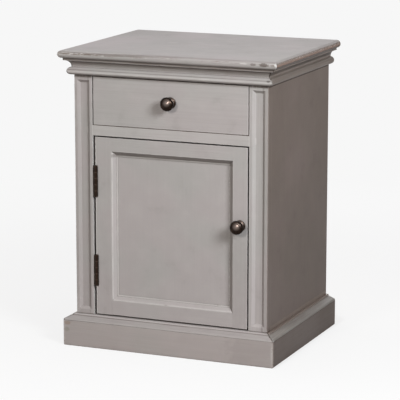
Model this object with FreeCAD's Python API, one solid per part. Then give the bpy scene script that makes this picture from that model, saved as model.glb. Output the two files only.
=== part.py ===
"""Storage side table: one drawer over a cupboard with a framed door.

Millimetres.  X runs across the front, -Y faces the front and +Z is up.  The origin is on the
floor, under the middle of the top.  Each piece is written to parts/NAME.step.
"""
import FreeCAD, Part
import os
from math import asin, cos, pi, radians, sin
from FreeCAD import Vector

# ---------------------------------------------------------------- driving dimensions
# overall
top_width = 500.0
top_depth = 400.0
height = 650.0
top_thickness = 17.0
top_overhang = 27.0

# boards of the carcass
side_thickness = 18.0
frame_thickness = 20.0
pilaster_width = 42.0
floor_thickness = 18.0
divider_thickness = 12.0
back_thickness = 6.0
back_rebate = 8.0
housing_depth = 5.0
tenon_thickness = 8.0
tenon_length = 14.0
tenon_shoulder = 4.0
arris = 1.0

# cornice under the top: fillet, cove and half-round
fillet_height = 5.0
fillet_overhang = 18.0
cove_height = 15.0
cove_lip = 1.5
half_round_radius = 8.2
half_round_overhang = 4.2

# plinth and its cap
plinth_height = 57.0
plinth_thickness = 22.0
cap_height = 12.5
cap_edge_radius = 4.0
cap_edge_turn = 70.0
cap_quirk = 0.8
cap_bead_width = 6.5
cap_bead_radius = 2.5
corner_block_size = 30.0
corner_block_lift = 6.5

# sunk panel of each pilaster
sunk_margin = 6.8
sunk_bevel = 6.2
sunk_depth = 5.0
sunk_above_cap = 10.3
sunk_below_cornice = 10.9

# rails between the pilasters
mid_rail_height = 21.9
bottom_rail_lift = 20.0
rear_rail_thickness = 18.0

# drawer
drawer_front_height = 104.3
drawer_front_thickness = 18.0
drawer_side_gap = 2.2
drawer_top_gap = 2.6
drawer_bottom_gap = 1.0
drawer_side_thickness = 12.0
drawer_side_drop = 20.4
drawer_back_space = 29.0
drawer_back_drop = 4.0
drawer_bottom_thickness = 5.0
drawer_bottom_rise = 8.0
drawer_groove = 6.0
drawer_edge_radius = 1.2
dovetail_pitch = 24.0
dovetail_width = 11.0
dovetail_lap = 5.0
dovetail_slope = 1.0 / 7.0
slide_clearance = 0.4
guide_clearance = 1.5
guide_height = 20.0
runner_width = 45.0
kicker_width = 40.0
kicker_height = 20.0
kicker_clearance = 1.2
stop_length = 15.0
out_stop_setback = 82.5
stop_clearance = 0.5
stop_grip = 7.0
in_stop_height = 12.0
in_stop_width = 8.0

# door
door_thickness = 20.0
door_setback = 1.5
door_hinge_gap = 5.2
door_latch_gap = 3.9
door_top_gap = 3.4
door_bottom_gap = 2.8
hinge_stile_width = 38.0
latch_stile_width = 33.2
door_top_rail = 29.7
door_bottom_rail = 32.7
door_tenon_end_wall = 12.5
panel_thickness = 6.0
panel_depth = 10.0
panel_groove = 8.0
panel_clearance = 0.5
bead_width = 12.0
bead_bevel_width = 8.0
bead_bevel_depth = 7.5
bead_quirk = 0.5
bead_step = 1.0
bead_lip = 0.5

# shelf
shelf_thickness = 16.0
shelf_clearance = 1.5
shelf_setback = 12.0
peg_radius = 2.5
peg_length = 20.0
peg_inset = 45.0

# butt hinges
hinge_height = 67.0
hinge_inset = 97.0
hinge_knuckles = 5
knuckle_radius = 3.6
knuckle_gap = 0.4
knuckle_chamfer = 0.6
hinge_proud = 1.0
hinge_inside_edge = 2.3
pin_radius = 1.8
pin_clearance = 0.05
pin_head_radius = 2.6
pin_head_top_radius = 1.5
pin_head_height = 1.2
leaf_thickness = 2.0
leaf_depth = 20.0
leaf_clearance = 0.6

# screws
wood_screw_radius = 1.5
wood_screw_head_radius = 3.0
wood_screw_head_height = 1.6
wood_screw_length = 16.0
wood_screw_point = 3.0
wood_screw_tip_radius = 0.1
hinge_screw_from_end = 11.0
hinge_screw_from_back = 7.0
top_screw_radius = 2.25
top_screw_head_radius = 4.5
top_screw_head_height = 2.5
top_screw_length = 30.0
top_screw_bite = 10.0
top_screw_inset = 60.0
knob_screw_radius = 2.0
knob_screw_head_radius = 4.0
knob_screw_head_height = 2.5
knob_screw_bite = 11.0
knob_screw_spare = 1.0
screw_clearance = 0.3
cross_span_share = 0.55
cross_slot_share = 0.16
cross_depth_share = 0.6

# knobs
knob_projection = 28.0
knob_radius = 15.0
knob_head_thickness = 15.5
knob_neck_radius = 6.5
knob_base_radius = 12.3
knob_base_thickness = 3.0
knob_ring_width = 1.6
knob_ring_depth = 0.5
knob_rim_width = 4.5
knob_face_rise = 2.2
drawer_knob_above_middle = 5.7
drawer_knob_offset = 2.0
door_knob_above_middle = 27.5
door_knob_offset = -0.5

# magnetic catch
catch_width = 40.0
catch_height = 13.0
catch_depth = 15.0
catch_from_edge = 45.0
strike_width = 36.0
strike_height = 8.0
strike_thickness = 1.2
strike_inset = 1.5
catch_gap = 0.4

# ---------------------------------------------------------------- places worked out from them
half = top_width / 2 - top_overhang
front_y = -top_depth / 2 + top_overhang
back_y = top_depth / 2
frame_back = front_y + frame_thickness
inner_back = back_y - back_thickness
inner_half = half - side_thickness
opening_half = half - pilaster_width
slab_bottom = height - top_thickness
half_round_top = slab_bottom - fillet_height - cove_height
cornice_bottom = half_round_top - 2 * half_round_radius
floor_top = plinth_height + cap_height
floor_bottom = floor_top - floor_thickness

drawer_front_top = cornice_bottom - drawer_top_gap
drawer_front_bottom = drawer_front_top - drawer_front_height
mid_rail_top = drawer_front_bottom - drawer_bottom_gap
mid_rail_bottom = mid_rail_top - mid_rail_height
divider_top = mid_rail_bottom + divider_thickness
drawer_half = opening_half - drawer_side_gap
drawer_inner = drawer_half - drawer_side_thickness
drawer_front_back = front_y + drawer_front_thickness
drawer_bottom_z = mid_rail_top + slide_clearance
drawer_side_top = drawer_front_top - drawer_side_drop
drawer_end = inner_back - drawer_back_space
panel_under = drawer_bottom_z + drawer_bottom_rise
panel_over = panel_under + drawer_bottom_thickness
drawer_back_front = drawer_end - drawer_side_thickness
drawer_back_top = drawer_side_top - drawer_back_drop
kicker_bottom = drawer_side_top + kicker_clearance
out_stop_y = frame_back + out_stop_setback + stop_length
drawer_travel = drawer_back_front - stop_clearance - out_stop_y

door_face = front_y + door_setback
door_back = door_face + door_thickness
door_left = -opening_half + door_hinge_gap
door_right = opening_half - door_latch_gap
door_low = floor_top + door_bottom_gap
door_high = mid_rail_bottom - door_top_gap
sight_left = door_left + hinge_stile_width
sight_right = door_right - latch_stile_width
sight_low = door_low + door_bottom_rail
sight_high = door_high - door_top_rail
panel_front = door_face + panel_depth
panel_back = panel_front + panel_thickness

pin_x = door_left + hinge_inside_edge
pin_y = front_y - hinge_proud
hinge_middles = {
    "upper": door_high - hinge_inset,
    "lower": door_low + hinge_inset,
}
leaf_back = pin_y + leaf_depth
hinge_screw_y = leaf_back - hinge_screw_from_back

drawer_knob_z = (drawer_front_top + drawer_front_bottom) / 2 + drawer_knob_above_middle
door_knob_x = (sight_right + door_right) / 2 + door_knob_offset
door_knob_z = (door_low + door_high) / 2 + door_knob_above_middle

shelf_bottom = (floor_top + mid_rail_bottom - shelf_thickness) / 2
reach = 2 * (top_overhang + plinth_thickness)


# ---------------------------------------------------------------- helpers
def box(x0, x1, y0, y1, z0, z1):
    """A block between two corners."""
    return Part.makeBox(x1 - x0, y1 - y0, z1 - z0, Vector(x0, y0, z0))


def mirrored(shape):
    """The same piece on the other side of the middle plane."""
    return shape.mirror(Vector(0, 0, 0), Vector(1, 0, 0))


def edges_at(shape, **place):
    """Edges whose ends all lie at the given x, y or z."""
    found = []
    for edge in shape.Edges:
        ends = [vertex.Point for vertex in edge.Vertexes]
        if all(abs(getattr(p, axis) - value) < 1e-6 for p in ends for axis, value in place.items()):
            found.append(edge)
    return found


def line(a, b):
    return Part.makeLine(Vector(*a), Vector(*b))


def arc(a, through, b):
    return Part.Arc(Vector(*a), Vector(*through), Vector(*b)).toShape()


def on_circle(centre_a, centre_b, radius, degrees):
    """A point of a circle, as a pair, at an angle from the first axis."""
    return (centre_a + radius * cos(radians(degrees)), centre_b + radius * sin(radians(degrees)))


def dome(radius, low, high):
    """A spherical cap as an arc in the XZ plane, from its rim to its top on the Z axis."""
    rise = high - low
    sphere = (radius ** 2 + rise ** 2) / (2 * rise)
    middle = (high - sphere, asin(radius / sphere) / 2)
    through = (sphere * sin(middle[1]), 0, middle[0] + sphere * cos(middle[1]))
    return arc((radius, 0, low), through, (0, 0, high))


def face_of(edges):
    return Part.Face(Part.Wire(Part.__sortEdges__(edges)))


def polygon(points):
    """A flat face through points in space."""
    return Part.Face(Part.makePolygon([Vector(*p) for p in points + points[:1]]))


def group(shapes):
    """Separate solids that share one node."""
    return Part.makeCompound(shapes)


def cylinder_y(x, y, z, radius, length):
    """A round bar that starts at y and runs back."""
    return Part.makeCylinder(radius, length, Vector(x, y, z), Vector(0, 1, 0))


def turned(profile, place, axis):
    """A lathe-turned solid: profile holds (distance along the axis, radius) pairs."""
    points = [(0, 0, profile[0][0])] + [(r, 0, h) for h, r in profile] + [(0, 0, profile[-1][0])]
    solid = polygon(points).revolve(Vector(0, 0, 0), Vector(0, 0, 1), 360)
    return placed(solid, place, axis)


def placed(solid, place, axis):
    """Turn a solid made on +Z to point along axis, then move it to its place."""
    turn = FreeCAD.Rotation(Vector(0, 0, 1), Vector(*axis))
    solid.Placement = FreeCAD.Placement(Vector(*place), turn)
    return solid


def wood_screw(place, axis):
    """A countersunk wood screw whose head is flush at its place and which runs along axis."""
    profile = [
        (0, wood_screw_head_radius),
        (wood_screw_head_height, wood_screw_radius),
        (wood_screw_length - wood_screw_point, wood_screw_radius),
        (wood_screw_length, wood_screw_tip_radius),
    ]
    return turned(profile, place, axis)


def crossed(screws, head_radius, head_height, places, axis):
    """Separate screws with a cross recess in each head; places are the middles of the heads."""
    span = head_radius * cross_span_share
    slot = head_radius * cross_slot_share
    deep = head_height * cross_depth_share
    cut = []
    for screw, place in zip(screws, places):
        for x, y in ((span, slot), (slot, span)):
            screw = screw.cut(placed(box(-x, x, -y, y, 0, deep), place, axis))
        cut.append(screw)
    return group(cut)


# ---------------------------------------------------------------- mouldings round the carcass
def front_run(profile):
    """Extrude a profile drawn at x = 0 across the front, mitred at both corners."""
    strip = profile.translated(Vector(-half - reach, 0, 0)).extrude(Vector(2 * (half + reach), 0, 0))
    plan = [
        (-half - reach, front_y - reach, 0),
        (half + reach, front_y - reach, 0),
        (half, front_y, 0),
        (-half, front_y, 0),
    ]
    return strip.common(polygon(plan).extrude(Vector(0, 0, height)))


def side_run(profile):
    """Extrude a profile drawn at y = 0 along the right side, mitred at the front corner."""
    start = front_y - reach
    strip = profile.translated(Vector(0, start, 0)).extrude(Vector(0, back_y - start, 0))
    plan = [
        (half, front_y, 0),
        (half + reach, front_y - reach, 0),
        (half + reach, back_y, 0),
        (half, back_y, 0),
    ]
    return strip.common(polygon(plan).extrude(Vector(0, 0, height)))


def moulding(name, outline):
    """Front, left and right lengths of one moulding; outline draws it from its overhangs."""
    front = front_run(outline(lambda out, z: (0, front_y - out, z)))
    right = side_run(outline(lambda out, z: (half + out, 0, z)))
    return {name + "_front": front, name + "_right": right, name + "_left": mirrored(right)}


def cornice_outline(at):
    """Half-round at the bottom, then a cove, then the square fillet under the top."""
    middle = half_round_top - half_round_radius
    cove_top = slab_bottom - fillet_height
    cove_out = fillet_overhang - cove_lip
    cove_width = cove_out - half_round_overhang
    cove_mid = (cove_out - cove_width * cos(pi / 4), half_round_top + cove_height * sin(pi / 4))
    low = (half_round_overhang, cornice_bottom)
    high = (half_round_overhang, half_round_top)
    return face_of([
        line(at(0, cornice_bottom), at(*low)),
        arc(at(*low), at(half_round_overhang + half_round_radius, middle), at(*high)),
        arc(at(*high), at(*cove_mid), at(cove_out, cove_top)),
        line(at(cove_out, cove_top), at(fillet_overhang, cove_top)),
        line(at(fillet_overhang, cove_top), at(fillet_overhang, slab_bottom)),
        line(at(fillet_overhang, slab_bottom), at(0, slab_bottom)),
        line(at(0, slab_bottom), at(0, cornice_bottom)),
    ])


def cap_outline(at):
    """Rounded lower edge, slope, quirk and a small bead against the carcass."""
    centre = plinth_thickness - cap_edge_radius
    round_mid = on_circle(centre, plinth_height, cap_edge_radius, cap_edge_turn / 2)
    round_end = on_circle(centre, plinth_height, cap_edge_radius, cap_edge_turn)
    bead_in = cap_bead_width - cap_bead_radius
    bead_low = floor_top - cap_bead_radius
    bead_mid = on_circle(bead_in, bead_low, cap_bead_radius, 45)
    return face_of([
        line(at(0, plinth_height), at(plinth_thickness, plinth_height)),
        arc(at(plinth_thickness, plinth_height), at(*round_mid), at(*round_end)),
        line(at(*round_end), at(cap_bead_width, bead_low - cap_quirk)),
        line(at(cap_bead_width, bead_low - cap_quirk), at(cap_bead_width, bead_low)),
        arc(at(cap_bead_width, bead_low), at(*bead_mid), at(bead_in, floor_top)),
        line(at(bead_in, floor_top), at(0, floor_top)),
        line(at(0, floor_top), at(0, plinth_height)),
    ])


def plinth_outline(at):
    """A plain board with its outer edges broken."""
    points = [
        at(0, 0),
        at(plinth_thickness - arris, 0),
        at(plinth_thickness, arris),
        at(plinth_thickness, plinth_height - arris),
        at(plinth_thickness - arris, plinth_height),
        at(0, plinth_height),
    ]
    return polygon(points)


# ---------------------------------------------------------------- carcass
def top_slab():
    """The top, with a full bullnose on the front and both ends and a square back edge."""
    radius = top_thickness / 2
    wide = top_width / 2
    mid = slab_bottom + radius
    across = face_of([
        line((radius - wide, back_y, slab_bottom), (wide - radius, back_y, slab_bottom)),
        arc((wide - radius, back_y, slab_bottom), (wide, back_y, mid), (wide - radius, back_y, height)),
        line((wide - radius, back_y, height), (radius - wide, back_y, height)),
        arc((radius - wide, back_y, height), (-wide, back_y, mid), (radius - wide, back_y, slab_bottom)),
    ])
    nose = -top_depth / 2
    along = face_of([
        line((-wide, back_y, slab_bottom), (-wide, back_y, height)),
        line((-wide, back_y, height), (-wide, nose + radius, height)),
        arc((-wide, nose + radius, height), (-wide, nose, mid), (-wide, nose + radius, slab_bottom)),
        line((-wide, nose + radius, slab_bottom), (-wide, back_y, slab_bottom)),
    ])
    return across.extrude(Vector(0, -top_depth, 0)).common(along.extrude(Vector(top_width, 0, 0)))


def rail(z0, z1):
    """A front rail between the pilasters, with a tenon at each end."""
    body = box(-opening_half, opening_half, front_y, frame_back, z0, z1)
    middle = (front_y + frame_back) / 2
    tenon = box(
        -opening_half - tenon_length, opening_half + tenon_length,
        middle - tenon_thickness / 2, middle + tenon_thickness / 2,
        z0 + tenon_shoulder, z1 - tenon_shoulder,
    )
    return body.fuse(tenon).removeSplitter()


def sunk_panel(x0, x1, z0, z1):
    """The waste of a shallow sunk panel with sloping edges."""
    return Part.makeWedge(
        x0, front_y, z0, z0 + sunk_bevel, x0 + sunk_bevel,
        x1, front_y + sunk_depth, z1, z1 - sunk_bevel, x1 - sunk_bevel,
    )


def pilaster(rails):
    """The right front upright; the rails' tenons are let into it."""
    body = box(opening_half, half, front_y, frame_back, 0, slab_bottom)
    body = body.makeFillet(arris, edges_at(body, x=half, y=front_y))
    sunk = sunk_panel(
        opening_half + sunk_margin, half - sunk_margin,
        floor_top + sunk_above_cap, cornice_bottom - sunk_below_cornice,
    )
    body = body.cut(sunk)
    for piece in rails:
        body = body.cut(piece)
    return body


def side_panel(housed):
    """The right side board; the floor and divider are housed in it and the back in a rebate."""
    body = box(inner_half, half, frame_back, back_y, 0, slab_bottom)
    for piece in housed:
        body = body.cut(piece)
    return body


def carcass_pieces():
    """The fixed boards of the cabinet."""
    pieces = {"top_slab": top_slab()}
    pieces["top_rail"] = rail(cornice_bottom, slab_bottom)
    pieces["mid_rail"] = rail(mid_rail_bottom, mid_rail_top)
    pieces["bottom_rail"] = rail(bottom_rail_lift, floor_top)
    housed_half = inner_half + housing_depth
    pieces["cupboard_floor"] = box(
        -housed_half, housed_half, frame_back, inner_back, floor_bottom, floor_top)
    pieces["divider_panel"] = box(
        -housed_half, housed_half, frame_back, inner_back, mid_rail_bottom, divider_top)
    pieces["back_panel"] = box(
        -inner_half - back_rebate, inner_half + back_rebate,
        inner_back, back_y, floor_bottom, slab_bottom)
    pieces["rear_top_rail"] = box(
        -inner_half, inner_half, inner_back - rear_rail_thickness, inner_back,
        cornice_bottom, slab_bottom)
    housed = [pieces[name] for name in ("cupboard_floor", "divider_panel", "back_panel")]
    pieces["right_side_panel"] = side_panel(housed)
    pieces["left_side_panel"] = mirrored(pieces["right_side_panel"])
    rails = [pieces[name] for name in ("top_rail", "mid_rail", "bottom_rail")]
    pieces["right_pilaster"] = pilaster(rails)
    pieces["left_pilaster"] = mirrored(pieces["right_pilaster"])
    return pieces


def plinth_back_and_blocks():
    """The board that closes the plinth behind, and the blocks glued in its corners."""
    start = back_y - plinth_thickness
    block = corner_block_size
    low = corner_block_lift
    front = box(inner_half - block, inner_half, frame_back, frame_back + block, low, floor_bottom)
    rear = box(inner_half - block, inner_half, start - block, start, low, floor_bottom)
    blocks = group([front, rear, mirrored(front), mirrored(rear)])
    board = box(-inner_half, inner_half, start, back_y, 0, floor_bottom)
    return {"plinth_back": board, "plinth_corner_blocks": blocks}


def top_screws(pieces):
    """Screws up through the two top rails into the top, in counterbored holes."""
    head_z = slab_bottom + top_screw_bite - top_screw_length
    middles = [(front_y + frame_back) / 2, inner_back - rear_rail_thickness / 2]
    x = opening_half - top_screw_inset
    screws, places = [], []
    for name, y in zip(("top_rail", "rear_top_rail"), middles):
        for place in (-x, x):
            profile = [
                (0, top_screw_head_radius),
                (top_screw_head_height, top_screw_head_radius),
                (top_screw_head_height, top_screw_radius),
                (top_screw_length, top_screw_radius),
            ]
            screw = turned(profile, (place, y, head_z), (0, 0, 1))
            bore = Part.makeCylinder(
                top_screw_radius + screw_clearance, slab_bottom - head_z, Vector(place, y, head_z))
            sink = Part.makeCylinder(
                top_screw_head_radius + screw_clearance,
                head_z + top_screw_head_height - cornice_bottom, Vector(place, y, cornice_bottom))
            pieces[name] = pieces[name].cut(bore).cut(sink)
            pieces["top_slab"] = pieces["top_slab"].cut(screw)
            screws.append(screw)
            places.append((place, y, head_z))
    pieces["top_screws"] = crossed(
        screws, top_screw_head_radius, top_screw_head_height, places, (0, 0, 1))


def shelf_and_pegs(pieces):
    """A loose shelf on four pegs in the side boards."""
    wide = inner_half - shelf_clearance
    pieces["shelf"] = box(
        -wide, wide, door_back + shelf_setback, inner_back - shelf_clearance,
        shelf_bottom, shelf_bottom + shelf_thickness)
    z = shelf_bottom - peg_radius
    pegs = []
    for y in (door_back + shelf_setback + peg_inset, inner_back - peg_inset):
        start = Vector(inner_half - peg_length / 2, y, z)
        peg = Part.makeCylinder(peg_radius, peg_length, start, Vector(1, 0, 0))
        pegs += [peg, mirrored(peg)]
    for peg in pegs:
        for name in ("right_side_panel", "left_side_panel"):
            pieces[name] = pieces[name].cut(peg)
    pieces["shelf_pegs"] = group(pegs)


# ---------------------------------------------------------------- drawer
def drawer_support():
    """Runners with their guide fences, kickers above the sides, and the stops."""
    side_out = inner_half
    fence_in = drawer_half + guide_clearance
    tread = box(side_out - runner_width, side_out, frame_back, inner_back, divider_top, mid_rail_top)
    fence = box(fence_in, side_out, frame_back, inner_back, mid_rail_top, mid_rail_top + guide_height)
    runner = tread.fuse(fence).removeSplitter()
    kicker = box(
        side_out - kicker_width, side_out, frame_back, inner_back,
        kicker_bottom, kicker_bottom + kicker_height)
    out_stop = box(
        side_out - kicker_width - stop_length, side_out - kicker_width,
        out_stop_y - stop_length, out_stop_y,
        drawer_back_top - stop_grip, kicker_bottom + kicker_height)
    in_y = drawer_end + stop_clearance
    in_x = (drawer_inner + drawer_half) / 2
    in_stop = box(
        in_x - in_stop_width / 2, in_x + in_stop_width / 2, in_y, in_y + stop_length,
        mid_rail_top, mid_rail_top + in_stop_height)
    return {
        "right_drawer_runner": runner,
        "left_drawer_runner": mirrored(runner),
        "right_drawer_kicker": kicker,
        "left_drawer_kicker": mirrored(kicker),
        "drawer_out_stops": group([out_stop, mirrored(out_stop)]),
        "drawer_in_stops": group([in_stop, mirrored(in_stop)]),
    }


def dovetail(z):
    """One tail of the right drawer side, reaching into the drawer front."""
    end = front_y + dovetail_lap
    neck = dovetail_width / 2
    wide = neck + (drawer_front_back - end) * dovetail_slope
    outline = [
        (drawer_inner, drawer_front_back, z - neck),
        (drawer_inner, drawer_front_back, z + neck),
        (drawer_inner, end, z + wide),
        (drawer_inner, end, z - wide),
    ]
    return polygon(outline).extrude(Vector(drawer_side_thickness, 0, 0))


def drawer_pieces():
    """The drawer box: sides dovetailed into the front, bottom in grooves."""
    bottom = box(
        -drawer_inner - drawer_groove, drawer_inner + drawer_groove,
        drawer_front_back - drawer_groove, drawer_end, panel_under, panel_over)
    side = box(
        drawer_inner, drawer_half, drawer_front_back, drawer_end, drawer_bottom_z, drawer_side_top)
    tall = drawer_side_top - panel_over
    count = max(1, round(tall / dovetail_pitch))
    for index in range(count):
        side = side.fuse(dovetail(panel_over + (index + 0.5) * tall / count))
    side = side.removeSplitter().cut(bottom)
    front = box(
        -drawer_half, drawer_half, front_y, drawer_front_back, drawer_front_bottom, drawer_front_top)
    front = front.makeFillet(drawer_edge_radius, edges_at(front, y=front_y))
    front = front.cut(bottom).cut(side).cut(mirrored(side))
    back = box(
        -drawer_inner, drawer_inner, drawer_back_front, drawer_end, panel_over, drawer_back_top)
    return {
        "drawer_front": front,
        "drawer_right_side": side,
        "drawer_left_side": mirrored(side),
        "drawer_back": back,
        "drawer_bottom": bottom,
    }


# ---------------------------------------------------------------- door
def bead(corners, across):
    """A panel bead along one edge of the sight opening, mitred at both ends.

    corners are the ends of the edge as (x, z); across is the unit step into the opening.
    """
    (x0, z0), (x1, z1) = corners
    step_x, step_z = across
    profile = [
        (0, bead_quirk),
        (bead_bevel_width, bead_bevel_depth),
        (bead_bevel_width, bead_bevel_depth + bead_step),
        (bead_width, bead_bevel_depth + bead_step + bead_lip),
        (bead_width, panel_depth),
        (0, panel_depth),
    ]
    section = polygon([(x0 + u * step_x, door_face + v, z0 + u * step_z) for u, v in profile])
    strip = section.extrude(Vector(x1 - x0, 0, z1 - z0))
    run_x = 0 if x0 == x1 else (1 if x1 > x0 else -1)
    run_z = 0 if z0 == z1 else (1 if z1 > z0 else -1)
    far = 2 * bead_width
    plan = [
        (x0, door_face, z0),
        (x1, door_face, z1),
        (x1 + far * (step_x - run_x), door_face, z1 + far * (step_z - run_z)),
        (x0 + far * (step_x + run_x), door_face, z0 + far * (step_z + run_z)),
    ]
    return strip.common(polygon(plan).extrude(Vector(0, panel_depth, 0)))


def door_rail(z0, z1):
    """A door rail between the stiles, with a tenon at each end."""
    body = box(sight_left, sight_right, door_face, door_back, z0, z1)
    middle = (panel_front + panel_back) / 2
    tenon = box(
        door_left + door_tenon_end_wall, door_right - door_tenon_end_wall,
        middle - tenon_thickness / 2, middle + tenon_thickness / 2,
        z0 + panel_groove, z1 - panel_groove)
    return body.fuse(tenon).removeSplitter()


def door_pieces():
    """Framed door: two stiles, two rails, a panel in grooves and four beads."""
    top = door_rail(sight_high, door_high)
    bottom = door_rail(door_low, sight_low)
    top = top.makeFillet(arris, edges_at(top, y=door_face, z=door_high))
    bottom = bottom.makeFillet(arris, edges_at(bottom, y=door_face, z=door_low))
    groove = box(
        sight_left - panel_groove, sight_right + panel_groove, panel_front, panel_back,
        sight_low - panel_groove, sight_high + panel_groove)
    slack = panel_groove - panel_clearance
    panel = box(
        sight_left - slack, sight_right + slack, panel_front, panel_back,
        sight_low - slack, sight_high + slack)
    hinge_stile = box(door_left, sight_left, door_face, door_back, door_low, door_high)
    latch_stile = box(sight_right, door_right, door_face, door_back, door_low, door_high)
    hinge_stile = hinge_stile.makeFillet(arris, edges_at(hinge_stile, x=door_left, y=door_face))
    latch_stile = latch_stile.makeFillet(arris, edges_at(latch_stile, x=door_right, y=door_face))
    nest_radius = knuckle_radius + leaf_clearance
    nest_reach = hinge_height / 2 + pin_head_height + leaf_clearance
    for middle in hinge_middles.values():
        nest_low, nest_high = middle - nest_reach, middle + nest_reach
        nest = Part.makeCylinder(nest_radius, nest_high - nest_low, Vector(pin_x, pin_y, nest_low))
        web_room = box(door_left, pin_x, door_face, pin_y + nest_radius, nest_low, nest_high)
        hinge_stile = hinge_stile.cut(nest).cut(web_room)
    corners = [
        (sight_left, sight_low), (sight_right, sight_low),
        (sight_right, sight_high), (sight_left, sight_high),
    ]
    inward = [(0, 1), (-1, 0), (0, -1), (1, 0)]
    beads = [bead((corners[i], corners[(i + 1) % 4]), inward[i]) for i in range(4)]
    return {
        "door_top_rail": top.cut(groove),
        "door_bottom_rail": bottom.cut(groove),
        "door_hinge_stile": hinge_stile.cut(groove).cut(top).cut(bottom),
        "door_latch_stile": latch_stile.cut(groove).cut(top).cut(bottom),
        "door_panel": panel,
        "door_cross_beads": group([beads[0], beads[2]]),
        "door_upright_beads": group([beads[1], beads[3]]),
    }


# ---------------------------------------------------------------- hinges
def knuckles(middle, first):
    """Every second knuckle of one barrel, counted from first, bored for the pin."""
    low = middle - hinge_height / 2
    length = (hinge_height - knuckle_gap * (hinge_knuckles - 1)) / hinge_knuckles
    made = []
    for index in range(first, hinge_knuckles, 2):
        z = low + index * (length + knuckle_gap)
        knuckle = Part.makeCylinder(knuckle_radius, length, Vector(pin_x, pin_y, z))
        ends = []
        if index == 0:
            ends += edges_at(knuckle, z=z)
        if index == hinge_knuckles - 1:
            ends += edges_at(knuckle, z=z + length)
        round_ends = [e for e in ends if e.Length > pi * knuckle_radius]
        if round_ends:
            knuckle = knuckle.makeChamfer(knuckle_chamfer, round_ends)
        made.append((knuckle, z, z + length))
    return made


def frame_leaf(middle):
    """The leaf on the pilaster, with its knuckles and the webs that carry them."""
    low, high = middle - hinge_height / 2, middle + hinge_height / 2
    plate_in = -opening_half + leaf_thickness
    web_y = pin_y + knuckle_radius - leaf_thickness
    leaf = box(-opening_half, plate_in, web_y, leaf_back, low, high)
    for knuckle, z0, z1 in knuckles(middle, 0):
        leaf = leaf.fuse(knuckle)
        leaf = leaf.fuse(box(-opening_half, pin_x, web_y, pin_y + knuckle_radius, z0, z1))
    pin_hole = Part.makeCylinder(pin_radius, hinge_height, Vector(pin_x, pin_y, low))
    return leaf.removeSplitter().cut(pin_hole)


def door_leaf(middle):
    """The leaf on the door's edge, cut back round the other leaf's knuckles."""
    low, high = middle - hinge_height / 2, middle + hinge_height / 2
    plate_out = door_left - leaf_thickness
    swing = knuckle_radius + leaf_clearance
    leaf = box(plate_out, door_left, pin_y + swing, leaf_back, low, high)
    for knuckle, z0, z1 in knuckles(middle, 1):
        web = box(plate_out, door_left, pin_y + pin_radius, pin_y + swing, z0, z1)
        leaf = leaf.fuse(knuckle).fuse(web)
    bore = pin_radius + pin_clearance
    return leaf.removeSplitter().cut(Part.makeCylinder(bore, hinge_height, Vector(pin_x, pin_y, low)))


def hinge_pin(middle):
    """The pin, with a low round head at each end of the barrel."""
    low, high = middle - hinge_height / 2, middle + hinge_height / 2
    shaft = Part.makeCylinder(pin_radius, hinge_height, Vector(pin_x, pin_y, low))
    for z, step in ((high, 1), (low, -1)):
        profile = [(0, pin_head_radius), (pin_head_height, pin_head_top_radius)]
        shaft = shaft.fuse(turned(profile, (pin_x, pin_y, z), (0, 0, step)))
    return shaft.removeSplitter()


def hinge_screw_places(x):
    """Three in each leaf, on the leaf's face at x."""
    pitch = hinge_height / 2 - hinge_screw_from_end
    offsets = (-pitch, 0, pitch)
    return [(x, hinge_screw_y, mid + off) for mid in hinge_middles.values() for off in offsets]


def add_hinges(pieces):
    """Both hinges with their screws, let into the pilaster and the hinge stile."""
    frame_places = hinge_screw_places(-opening_half + leaf_thickness)
    door_places = hinge_screw_places(door_left - leaf_thickness)
    frame_screws = [wood_screw(place, (-1, 0, 0)) for place in frame_places]
    door_screws = [wood_screw(place, (1, 0, 0)) for place in door_places]
    for name, middle in hinge_middles.items():
        pieces[name + "_hinge_frame_leaf"] = frame_leaf(middle).cut(group(frame_screws))
        pieces[name + "_hinge_door_leaf"] = door_leaf(middle).cut(group(door_screws))
        pieces[name + "_hinge_pin"] = hinge_pin(middle)
    pieces["left_pilaster"] = pieces["left_pilaster"].cut(group(frame_screws))
    pieces["door_hinge_stile"] = pieces["door_hinge_stile"].cut(group(door_screws))
    head = (wood_screw_head_radius, wood_screw_head_height)
    pieces["hinge_frame_screws"] = crossed(frame_screws, *head, frame_places, (-1, 0, 0))
    pieces["hinge_door_screws"] = crossed(door_screws, *head, door_places, (1, 0, 0))


# ---------------------------------------------------------------- knobs and catch
def knob_outline():
    """Half section of a knob as edges: distance from the face runs along Z, radius along X."""
    head_back = knob_projection - knob_head_thickness
    face_rim = knob_projection - knob_face_rise
    face_radius = knob_radius - knob_rim_width
    inner_face = face_radius - knob_ring_width
    ring = knob_base_radius - knob_ring_width
    base_edge = knob_base_thickness - knob_ring_width
    base_mid = on_circle(ring, base_edge, knob_ring_width, 45)
    neck_low = knob_base_thickness - knob_ring_depth
    neck_mid = (knob_neck_radius, 0, (neck_low + head_back) / 2)
    return [
        line((0, 0, 0), (knob_base_radius, 0, 0)),
        line((knob_base_radius, 0, 0), (knob_base_radius, 0, base_edge)),
        arc((knob_base_radius, 0, base_edge), (base_mid[0], 0, base_mid[1]),
            (ring, 0, knob_base_thickness)),
        line((ring, 0, knob_base_thickness), (ring, 0, neck_low)),
        arc((ring, 0, neck_low), neck_mid, (ring, 0, head_back)),
        line((ring, 0, head_back), (face_radius, 0, head_back)),
        arc((face_radius, 0, head_back), (knob_radius, 0, (head_back + face_rim) / 2),
            (face_radius, 0, face_rim)),
        line((face_radius, 0, face_rim), (inner_face, 0, face_rim - knob_ring_depth)),
        dome(inner_face, face_rim - knob_ring_depth, knob_projection),
        line((0, 0, knob_projection), (0, 0, 0)),
    ]


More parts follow.
